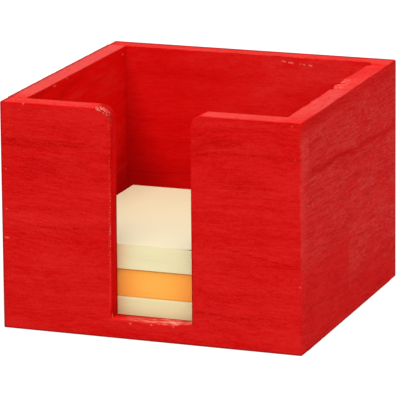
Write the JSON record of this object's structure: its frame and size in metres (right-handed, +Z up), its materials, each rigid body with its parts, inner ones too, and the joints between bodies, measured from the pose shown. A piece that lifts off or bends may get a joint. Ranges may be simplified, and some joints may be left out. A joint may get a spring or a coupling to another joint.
{
  "type": "memo pad holder",
  "caption": "Open-topped desk box of red-stained wood with a finger slot down its front board, holding a stack of square note pads.",
  "frame": {"origin": "middle of the flat underside", "axes": "+Z up towards the open top, -Y out of the slotted front board, +X to the right seen from the front"},
  "size_m": [0.105, 0.103, 0.0775],
  "materials": {
    "stained_wood": "softwood board under a thin bright red stain, grain showing, satin",
    "pin_steel": "plain headless steel pins, driven flush and stained over",
    "pale_paper": "matt uncoated pale buff paper",
    "orange_paper": "matt uncoated light orange paper",
    "cream_paper": "matt uncoated pale cream paper"
  },
  "bodies": {
    "box": {"front_panel": "stained_wood", "back_panel": "stained_wood", "left_side": "stained_wood", "right_side": "stained_wood", "base_panel": "stained_wood", "front_left_pins": "pin_steel", "front_right_pins": "pin_steel", "back_left_pins": "pin_steel", "back_right_pins": "pin_steel", "base_pins_front": "pin_steel", "base_pins_back": "pin_steel", "base_pins_left": "pin_steel", "base_pins_right": "pin_steel"},
    "bottom_pad": {"bottom_pad": "pale_paper"},
    "middle_pad": {"middle_pad": "orange_paper"},
    "top_pad": {"top_pad": "cream_paper"}
  },
  "joints": [
    {"name": "bottom_pad_lift", "type": "slide", "parent": "box", "child": "bottom_pad", "axis": [0, 0, 1], "range_m": [0, 0.0763]},
    {"name": "middle_pad_lift", "type": "slide", "parent": "bottom_pad", "child": "middle_pad", "axis": [0, 0, 1], "range_m": [0, 0.0702]},
    {"name": "top_pad_lift", "type": "slide", "parent": "middle_pad", "child": "top_pad", "axis": [0, 0, 1], "range_m": [0, 0.0605]}
  ]
}
